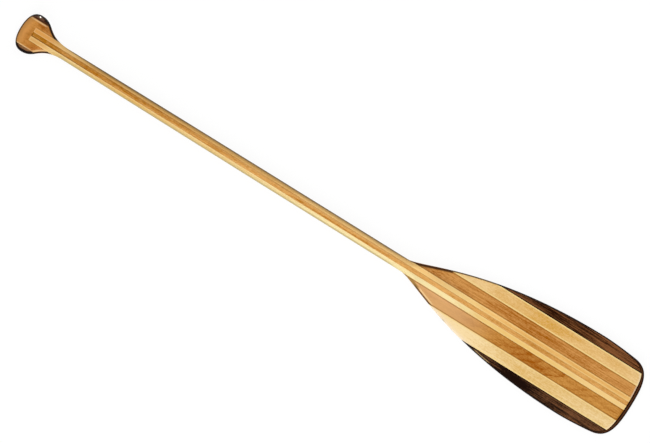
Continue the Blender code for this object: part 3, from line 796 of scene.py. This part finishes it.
def shaft_woods():
    """The core's wood and the two of the battens beside it, left and right."""
    tan_end, blade_start = START + 0.090, START + THROAT_AT
    core = varnished("core wood", figure(1.3, (0.16, 0.03), **LONG_FIBRES), *CORE,
                     (0.20, 0.15, 0.50, 0.20), [
        patch((-0.72, 0.0), (0.40, 0.03), 0.65, 1.0),
        patch((-0.42, 0.0), (0.30, 0.03), 0.40, 2.0),
        patch((-0.605, 0.0), (0.05, 0.03), -0.35, 3.0),
        patch((0.485, 0.0), (0.06, 0.03), 0.25, 4.0),
        patch((-0.061, -0.0010), (0.022, 0.0012), 0.90, 6.0),
        patch((-0.50, -0.0030), (0.13, 0.0030), -0.38, 7.0),
        patch((0.08, 0.0030), (0.18, 0.0035), -0.35, 8.0),
        patch((0.04, -0.0024), (0.20, 0.0025), 0.58, 9.0),
        patch((0.25, 0.0010), (0.07, 0.0100), -0.30, 10.0),
        patch((0.60, -0.0030), (0.06, 0.0030), 0.28, 11.0),
    ], [
        band("seam", 0.0004, 0.0014, 0.30, ORANGE),
        band("seam", 0.0014, 0.0012, 0.70, CORE_LINE, span=(GRIP_SIDE, -0.55), side=-1.0),
    ])
    stick_left = varnished("stick wood left", figure(2.1, (-0.16, 0.03)), *STICK_LEFT,
                           (0.60, 0.05, 0.30, 0.20), [
        patch((-0.605, 0.01), (0.06, 0.06), -0.75, 1.0),
        patch((-0.45, 0.01), (0.15, 0.06), -0.05, 3.0),
        patch((-0.05, 0.01), (0.25, 0.06), -0.20, 4.0),
        patch((0.18, 0.01), (0.36, 0.06), -0.68, 5.0),
        patch((0.475, 0.004), (0.10, 0.006), 0.40, 6.0),
    ], [
        tone(0.75, GRIP_TAN, (GRIP_SIDE, tan_end), 0.03),
        tone(0.65, LIT_STRAW, (0.24, 0.38), 0.05),
        glued_side(0.45, CREAM, span=(0.18, TIP_SIDE)),
        # A painted highlight line along the glue line in the grip
        band("seam", 0.0012, 0.0014, 0.35, HIGHLIGHT_LINE, span=(GRIP_SIDE, tan_end), blend=0.03),
        # Painted shade along the upper edge of the shaft and the shoulder, which face away from the
        # light
        band("rim", 0.0020, 0.0050, 0.62, SHAFT_SHADE, span=(-0.60, -0.27), blend=0.08),
        band("rim", 0.0020, 0.0050, 0.66, SHAFT_SOFT_SHADE, span=(-0.35, 0.21), blend=0.08),
        band("rim", 0.0012, 0.0020, 0.70, SHADE, span=(-0.62, blade_start + 0.022), blend=0.03),
        band("edge", 0.0012, 0.0020, 0.80, SHOULDER_SHADE, span=(0.186, 0.220), blend=0.006),
    ], flecks=0.22)
    stick_right = varnished("stick wood right", figure(3.4, (-0.16, 0.03)), *STICK_RIGHT,
                            (0.55, 0.05, 0.25, 0.20), [
        patch((-0.48, -0.01), (0.15, 0.06), 0.42, 5.0),
        patch((-0.11, -0.01), (0.08, 0.06), 0.16, 8.0),
        patch((0.14, -0.01), (0.44, 0.06), -0.80, 6.0),
        patch((0.44, -0.01), (0.06, 0.06), 0.38, 7.0),
    ], [
        tone(0.60, GRIP_TAN, (GRIP_SIDE, tan_end - 0.005), 0.03),
        tone(0.80, WARM_STRAW, (0.305, 0.63), 0.09),
        tone(0.80, PALE_STRAW, (0.54, TIP_SIDE), 0.09),
        glued_side(0.36, CREAM),
        # Painted shade: the lower edge of the shaft dims towards its outline
        band("rim", 0.0016, 0.0034, 0.85, LOWER_EDGE_SHADE, span=(-0.64, blade_start), blend=0.04),
    ], flecks=0.22)
    return core, stick_left, stick_right


def blade_woods():
    """The woods of the battens that only the blade has, as pairs of left and right."""
    light_left = varnished("light wood left", figure(2.7, (-0.16, 0.03)), *LIGHT_LEFT,
                           (0.34, 0.05, 0.22, 0.20), [
        patch((0.485, 0.05), (0.11, 0.10), 0.32, 3.0),
        patch((0.31, 0.05), (0.07, 0.10), -0.28, 4.0),
        patch((0.70, 0.05), (0.06, 0.10), -0.15, 5.0),
    ], [
        glued_side(0.88, CREAM),
        BESIDE_GUARD,
        # Painted shade: a thin dark line along the outline, where the rounded edge is in shadow
        band("rim", 0.0020, 0.0014, 0.92, EDGE_SHADE),
    ])
    light_right = varnished("light wood right", figure(3.9, (-0.16, 0.03)), *LIGHT_RIGHT,
                            (0.38, 0.05, 0.24, 0.22), [
        patch((0.525, -0.05), (0.12, 0.10), 0.26, 6.0),
        patch((0.33, -0.05), (0.12, 0.10), -0.50, 7.0),
    ], [
        glued_side(0.85, CREAM),
        BESIDE_GUARD,
        # Painted highlight: the edge near the shoulder washed towards white by the glare of the
        # light, and a short mark of painted shade on the outline
        band("rim", 0.0006, 0.0095, 0.85, WHITENED, span=(0.26, 0.40), blend=0.02),
        band("rim", 0.0012, 0.0014, 0.55, SHADE, span=(0.298, 0.314)),
    ])
    brown_left = varnished("brown wood left", figure(5.2, (0.16, 0.03), ring_width=0.006,
                                                     waver=0.004, **LONG_FIBRES), *BROWN_LEFT,
                           (0.38, 0.25, 0.60, 0.30), [
        patch((0.480, 0.027), (0.09, 0.05), 0.22, 1.0),
        patch((0.28, 0.027), (0.10, 0.05), -0.20, 3.0),
        patch((0.66, 0.027), (0.08, 0.05), -0.28, 4.0),
    ], [
        glued_side(0.55, ORANGE),
        band("rim", 0.0008, 0.0010, 0.50, WHITENED, centre=0.0096, span=(0.66, TIP_SIDE)),
        # Painted shade: a dark line along the upper shoulder's thick edge, which faces away from
        # the light
        band("edge", 0.0036, 0.0030, 0.97, SHOULDER_SHADE, span=(0.190, 0.274), blend=0.004),
    ], coat=0.10)
    wavy = figure(6.6, (-0.0046, -0.040), ring_width=0.0050, waver=0.0085,
                  waver_size=(0.055, 0.022, 0.022), slant=0.19, late=0.45, **LONG_FIBRES)
    brown_right = varnished("brown wood right", wavy, *BROWN_RIGHT, (0.32, 0.56, 0.28, 0.34), [
        patch((0.262, -0.023), (0.030, 0.006), 0.40, 1.0),
        patch((0.350, -0.026), (0.035, 0.007), 0.18, 2.0),
        patch((0.490, -0.027), (0.085, 0.05), 0.40, 3.0),
        patch((0.640, -0.027), (0.06, 0.05), -0.18, 4.0),
    ], [
        tone(0.62, PINKISH, (0.10, 0.42), 0.10),
        glued_side(0.60, ORANGE),
        # Painted shade along the lower shoulder's steep edge, a painted highlight on its arris, and
        # a dark line of painted shade along the outline beyond
        band("edge", 0.0048, 0.0026, 0.85, OLIVE_SHADE, span=(0.10, 0.236), blend=0.012),
        band("rim", 0.0007, 0.0013, 0.80, HIGHLIGHT_LINE, centre=0.0052, span=(0.228, 0.275)),
        band("edge", 0.0026, 0.0012, 0.88, DARK_SHADE_LINE, span=(0.215, TIP_SIDE)),
    ], ring_span=(0.26, 0.50))
    # Near-black glue lines, and painted shade: a near-black line along the outline, where the
    # rounded edges turn away from the light
    joint_and_shade_bands = [band("seam", 0.0014, 0.0014, 0.88, NEAR_BLACK),
                  band("rim", 0.0020, 0.0016, 0.90, NEAR_BLACK)]
    dark_left = varnished("dark wood left", figure(7.7, (0.2, 0.02), **STREAKY), *DARK_LEFT,
                          (0.60, 0.2, 1.2, 0.5), [
        patch((0.620, 0.08), (0.060, 0.10), -0.66, 1.0),
        patch((0.545, 0.08), (0.035, 0.10), 0.22, 3.0),
        patch((0.69, 0.08), (0.06, 0.10), -0.20, 2.0),
    ], joint_and_shade_bands)
    dark_right = varnished("dark wood right", figure(8.8, (-0.2, 0.02), **STREAKY), *DARK_RIGHT,
                           (0.70, 0.2, 0.70, 0.28), [
        patch((0.48, -0.08), (0.07, 0.10), 0.55, 3.0),
        patch((0.62, -0.08), (0.035, 0.10), -0.34, 5.0),
        patch((0.68, -0.08), (0.07, 0.10), -0.18, 4.0),
    ], [
        *joint_and_shade_bands,
        # A painted highlight line along the lower edge, on its rounding
        band("rim", 0.0002, 0.0010, 0.45, HIGHLIGHT_LINE, centre=0.0034, span=(0.385, 0.430)),
    ])
    return (brown_left, brown_right), (light_left, light_right), (dark_left, dark_right)


def grip_woods():
    """The wood of the grip's block and the two of its corners, left and right."""
    corner_left = varnished("corner wood left", figure(7.1, (0.2, 0.02), **STREAKY), *DARK_LEFT,
                            (0.75, 0.2, 0.9, 0.4), bands=[
        # Painted highlight: a soft lighter band inside the outline near the crown
        band("rim", 0.0010, 0.0022, 0.60, CORNER_HIGHLIGHT, centre=0.0054,
             span=(GRIP_SIDE, START + 0.036), blend=0.008),
        band("seam", 0.0012, 0.0014, 0.80, CORNER_RED),
        # Painted shade: a near-black line along the outline
        band("rim", 0.0024, 0.0016, 0.97, NEAR_BLACK),
    ], coat=0.20, coat_roughness=0.05)
    corner_right = varnished("corner wood right", figure(8.3, (-0.2, 0.02), **STREAKY), *DARK_RIGHT,
                             (0.85, 0.2, 0.9, 0.4), bands=[
        band("seam", 0.0042, 0.0016, 0.80, CORNER_BROWN),
        # Painted shade: a near-black line along the outline
        band("rim", 0.0044, 0.0018, 0.98, NEAR_BLACK),
    ], coat=0.08)
    cheek = (START + 0.040, START + GRIP_WAIST_AT)
    grip_wood = varnished("grip wood", figure(9.1, (0.02, -0.09), ring_width=0.003, waver=0.004,
                                              slant=0.05, mottle_size=(0.02, 0.012, 0.012)),
                          *GRIP_BROWN, (0.28, 0.20, 0.35, 0.35), [
        patch((START + 0.030, 0.010), (0.006, 0.008), 0.35, 1.0),
        patch((START + 0.042, 0.022), (0.022, 0.012), 0.45, 2.0),
        patch((START + 0.045, -0.024), (0.022, 0.010), 0.35, 3.0),
    ], [
        tone(0.80, CROWN_TAN, (GRIP_SIDE, START + 0.024), 0.012),
        # Painted highlight lines beside the glue lines to the corners, and a dark line along the
        # upper one
        band("cheek", 0.0010, 0.0012, 0.60, HIGHLIGHT_LINE, centre=0.0026, span=(GRIP_SIDE, START + 0.050),
             side=1.0),
        band("cheek", 0.0006, 0.0010, 0.85, CORNER_RED, span=(GRIP_SIDE, START + 0.052), side=1.0),
        band("cheek", 0.0012, 0.0012, 0.80, HIGHLIGHT_LINE, span=(GRIP_SIDE, START + 0.048), side=-1.0),
        band("seam", 0.0008, 0.0010, 0.45, ORANGE, span=(SOCKET_AT + START, 0.0)),
        # Painted shade: dark lines along the crown and both flares, where the rounded edges turn
        # from the light, with a painted highlight inside the lower one
        band("edge", 0.0024, 0.0014, 0.95, DARK_SHADE_LINE, span=(GRIP_SIDE, cheek[0])),
        band("edge", 0.0036, 0.0014, 0.98, NEAR_BLACK, span=cheek, side=1.0),
        band("rim", 0.0010, 0.0012, 0.60, HIGHLIGHT_LINE, centre=0.0050, span=cheek, side=-1.0),
        band("edge", 0.0026, 0.0012, 0.98, NEAR_BLACK, span=cheek, side=-1.0),
    ])
    return grip_wood, corner_left, corner_right


def guard_resin():
    """The tip guard's nearly black resin, in the same varnish."""
    return varnished("guard resin", figure(4.4, (0.2, 0.02), ring_width=0.02,
                                           fibre_size=(0.01, 0.004, 0.004)),
                     *GUARD, (0.5, 0.0, 0.3, 0.5), bands=[
        # Painted highlight: a lighter line along the middle of the guard's rounded rim
        band("rim", 0.0005, 0.0012, 0.6, GUARD_HIGHLIGHT, centre=0.0042, span=(0.67, TIP_SIDE)),
    ], coat_roughness=0.10)


def build_pieces():
    """All pieces, each in its own wood, and the nodes that they stand for."""
    core, *sticks = shaft_woods()
    browns, lights, darks = blade_woods()
    grip_wood, *corners = grip_woods()
    inner = blade_strip_plan(STICK_PLANE, INNER_PLANE)
    middle = blade_strip_plan(INNER_PLANE, MIDDLE_PLANE)
    pieces = [
        ("carved_core", "shaft_core", "core_wood", core, core_plan()),
        ("carved_grip_block", "grip_block", "brown_wood", grip_wood, grip_block_plan()),
        ("moulded_tip_guard", "blade_tip_guard", "guard_resin", guard_resin(), guard_plan()),
    ]
    paired = [
        ("shaft_strip", "light_wood", sticks, shaft_strip_plan()),
        ("blade_inner_strip", "brown_wood", browns, inner),
        ("blade_middle_strip", "light_wood", lights, middle),
        ("blade_outer_strip", "dark_wood", darks, outer_strip_plan()),
        ("grip_corner", "dark_wood", corners, grip_corner_plan()),
    ]
    for stem, slot, (left, right), (along, across) in paired:
        pieces.append((f"carved_{stem}_left", f"{stem}_left", slot, left, (along, across)))
        pieces.append((f"carved_{stem}_right", f"{stem}_right", slot, right, (along, -across)))
    for name, node, slot, finish, plan in pieces:
        piece = board(name, finish, *plan)
        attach(piece, "root")
        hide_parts(node)


# The studio: a white floor, a room that is bright low down and dim overhead, and soft lamps

FLOOR_SIZE = 30.0
FLOOR_BOUNCE = (0.35, 0.35, 0.35, 1.0)
FLOOR_SHADE = (0.09, 0.09, 0.09, 1.0)
FLOOR_GLOW = 0.93
WHITE = (1.0, 1.0, 1.0, 1.0)
CEILING = (0.10, 0.10, 0.10, 1.0)
LEFT_WALL_DIMMING = 0.45
KEY_PLACE, KEY_SIZE, KEY_POWER = (0.25, -2.0, 1.75), 2.6, 67.0
FILL_PLACE, FILL_SIZE, FILL_POWER = (0.10, 1.7, 2.0), 2.4, 37.0
SPARK_PLACE, SPARK_SIZE, SPARK_POWER = (START - 0.07, 0.55, 0.05), (0.045, 0.10), 1.5
SPARK_SPREAD = 0.5


def floor():
    """A wide white plane, which shows white to the camera and keeps a soft shadow."""
    half = FLOOR_SIZE / 2
    mesh = bpy.data.meshes.new("floor")
    mesh.from_pydata([(-half, -half, 0), (half, -half, 0), (half, half, 0), (-half, half, 0)], [],
                     [(0, 1, 2, 3)])
    plane = bpy.data.objects.new("floor", mesh)
    bpy.context.scene.collection.objects.link(plane)
    material = bpy.data.materials.new("white floor")
    material.use_nodes = True
    g = Graph(material.node_tree)
    output = material.node_tree.nodes["Material Output"]
    material.node_tree.nodes.remove(material.node_tree.nodes["Principled BSDF"])
    path = g.node("ShaderNodeLightPath").outputs
    seen = g.math("MAXIMUM", path["Is Camera Ray"], path["Is Glossy Ray"])
    seen = g.math("MAXIMUM", seen, path["Is Transmission Ray"])
    matte = g.node("ShaderNodeBsdfDiffuse", {"Color": FLOOR_BOUNCE}).outputs[0]
    faint = g.node("ShaderNodeBsdfDiffuse", {"Color": FLOOR_SHADE}).outputs[0]
    glow = g.node("ShaderNodeEmission", {"Color": WHITE, "Strength": FLOOR_GLOW}).outputs[0]
    shown = g.node("ShaderNodeAddShader", {0: faint, 1: glow}).outputs[0]
    above = g.node("ShaderNodeMixShader", {0: seen, 1: matte, 2: shown}).outputs[0]
    clear = g.node("ShaderNodeBsdfTransparent").outputs[0]
    below = g.node("ShaderNodeNewGeometry").outputs["Backfacing"]
    both = g.node("ShaderNodeMixShader", {0: below, 1: above, 2: clear}).outputs[0]
    material.node_tree.links.new(both, output.inputs["Surface"])
    mesh.materials.append(material)


def room():
    """A room that is white up to eye height, dims towards its ceiling and is dimmer on the left."""
    world = bpy.data.worlds.new("studio")
    bpy.context.scene.world = world
    world.use_nodes = True
    g = Graph(world.node_tree)
    background = world.node_tree.nodes["Background"]
    _, across, up = g.parts(g.node("ShaderNodeTexCoord").outputs["Generated"])
    walls = g.math("MULTIPLY_ADD", g.fade(across, 0.0, 0.6), -LEFT_WALL_DIMMING, 1.0)
    level = g.mix(g.fade(up, 0.10, 0.55), walls, CEILING)
    g.tree.links.new(level, background.inputs["Color"])


def lamp(name, place, size, power, target=(0.10, 0.0, 0.0), only_shines=False):
    """A soft lamp facing its target. One that only shines gives a highlight, in a narrow beam."""
    light = bpy.data.lights.new(name, "AREA")
    light.shape = "RECTANGLE"
    light.size, light.size_y = size
    light.energy = power
    made = bpy.data.objects.new(name, light)
    made.rotation_euler = (Vector(place) - Vector(target)).to_track_quat("Z", "Y").to_euler()
    made.location = place
    made.visible_camera = False
    made.visible_diffuse = not only_shines
    if only_shines:
        light.spread = SPARK_SPREAD
    bpy.context.scene.collection.objects.link(made)


# The camera looks straight down on the face. The photograph's frame spans 1.2857 m there, its
# middle lies a little beside the paddle's own, and the paddle runs down to the right in it.

FRAME_WIDTH = 1.2857
FRAME_MIDDLE = (0.0037, -0.0094)
PADDLE_RIGHT, PADDLE_DOWN = 0.849212, 0.528052
PADDLE_TURN = np.arctan2(PADDLE_DOWN, PADDLE_RIGHT)
LENS = 200.0
SENSOR = 36.0


def camera():
    """The photograph's view, with a long lens, because its sides show no perspective."""
    data = bpy.data.cameras.new("camera")
    data.sensor_width = SENSOR
    data.lens = LENS
    data.clip_end = 100.0
    made = bpy.data.objects.new("camera", data)
    distance = FRAME_WIDTH * LENS / SENSOR
    made.location = (*FRAME_MIDDLE, CENTRE_HEIGHT + BLADE_THICKNESS / 2 + distance)
    made.rotation_euler = (0.0, 0.0, PADDLE_TURN)
    bpy.context.scene.collection.objects.link(made)
    bpy.context.scene.camera = made


build_pieces()
floor()
room()
lamp("key lamp", KEY_PLACE, (KEY_SIZE, KEY_SIZE), KEY_POWER)
lamp("fill lamp", FILL_PLACE, (FILL_SIZE, FILL_SIZE), FILL_POWER)
lamp("spark", SPARK_PLACE, SPARK_SIZE, SPARK_POWER, (START, 0.0, 0.03), only_shines=True)
camera()
bpy.context.scene.view_settings.view_transform = "Standard"
